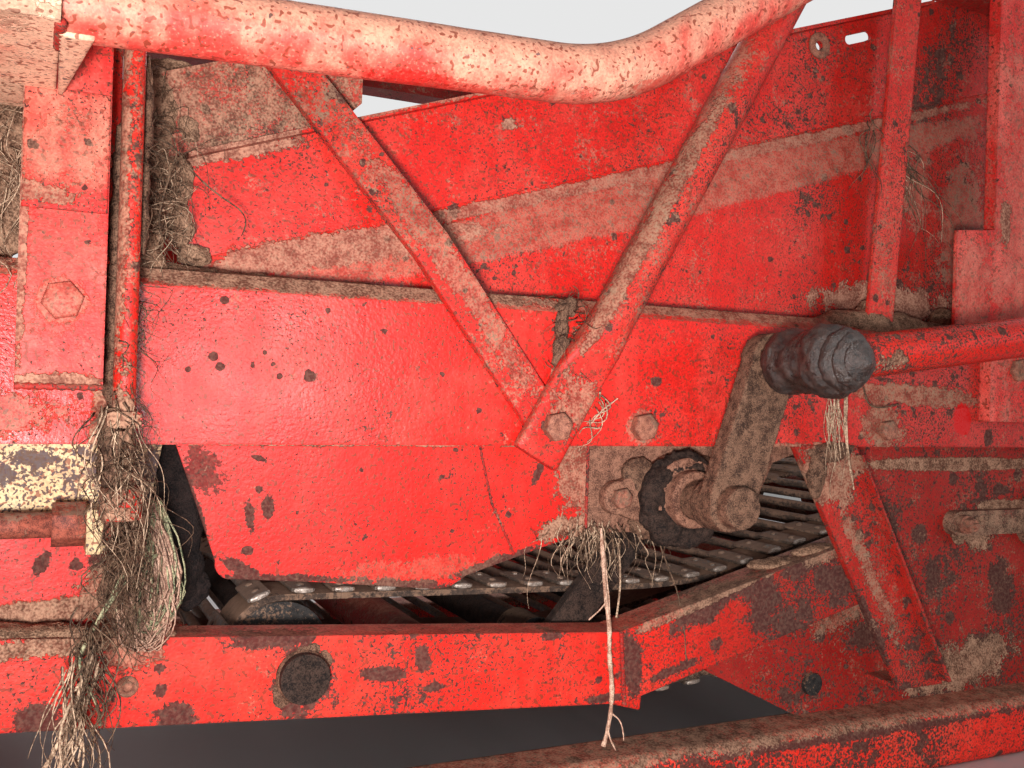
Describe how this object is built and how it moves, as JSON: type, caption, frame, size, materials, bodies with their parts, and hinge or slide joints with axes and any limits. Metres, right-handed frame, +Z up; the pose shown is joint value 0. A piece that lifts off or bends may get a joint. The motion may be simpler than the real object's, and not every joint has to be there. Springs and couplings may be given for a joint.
{
  "type": "web-frame section of a potato digger",
  "caption": "Steel side frames with trough panels that carry a looped rod web, a guard rail and a web agitator rocked by a drive rod.",
  "frame": {"origin": "centre of the footprint on the floor, under the chassis tubes", "axes": "+X to the rear along the main beams, +Y to the far side, +Z up"},
  "size_m": [1.44, 1.075, 0.968],
  "materials": {
    "red_paint": "worn gloss paint",
    "dark_paint": "dull paint",
    "worn_paint": "flaking paint",
    "pale_paint": "sun-faded paint",
    "cream_paint": "chipped paint",
    "soiled_steel": "covered with dried soil",
    "rusty_steel": "rusty",
    "web_steel": "worn by soil",
    "black_rubber": "dusty",
    "greasy_rubber": "greasy"
  },
  "bodies": {
    "frame": {"main_beam_near": "red_paint", "main_beam_far": "red_paint", "lower_beam_near": "red_paint", "lower_beam_far": "red_paint", "chassis_tube_near": "worn_paint", "chassis_tube_far": "worn_paint", "legs": "dark_paint", "front_side_plates": "red_paint", "rear_side_plate_near": "dark_paint", "rear_side_plate_far": "dark_paint", "skirts": "red_paint", "bearing_plates": "soiled_steel", "flange_bearings": "soiled_steel", "struts": "red_paint", "front_brackets": "cream_paint", "tensioners": "rusty_steel", "panel_lower_near": "red_paint", "panel_lower_far": "red_paint", "panel_upper_near": "red_paint", "panel_upper_far": "red_paint", "hood_plates": "soiled_steel", "front_post_near": "red_paint", "front_post_far": "red_paint", "rear_post_near": "red_paint", "rear_post_far": "red_paint", "angle_posts": "red_paint", "top_rail_near": "red_paint", "top_rail_far": "red_paint", "tube_braces": "red_paint", "flat_braces": "red_paint", "rail_bracket": "pale_paint", "guard_rail": "pale_paint", "control_rod": "red_paint", "cross_tubes": "dark_paint", "web": "web_steel", "nose_axle": "soiled_steel", "nose_wheels": "black_rubber", "support_wheels": "black_rubber", "return_wheels": "black_rubber", "drive_shaft": "rusty_steel", "drive_carriers": "soiled_steel"},
    "agitator": {"rocker_arm": "soiled_steel", "agitator_frame": "soiled_steel", "agitator_wheels": "black_rubber"},
    "drive_rod": {"rod_eye": "greasy_rubber", "drive_rod": "worn_paint"}
  },
  "joints": [
    {"name": "agitator_rock", "type": "hinge", "parent": "frame", "child": "agitator", "pos_m": [0.042, 0, 0.322], "axis": [0, 1, 0], "range_deg": [-6, 6]},
    {"name": "drive_rod_pivot", "type": "hinge", "parent": "agitator", "child": "drive_rod", "pos_m": [0.09207, 0, 0.4634], "axis": [0, 1, 0], "range_deg": [-6, 6]}
  ],
  "couplings": [
    {"joint": "drive_rod_pivot", "follows": "agitator_rock", "ratio": -1}
  ]
}
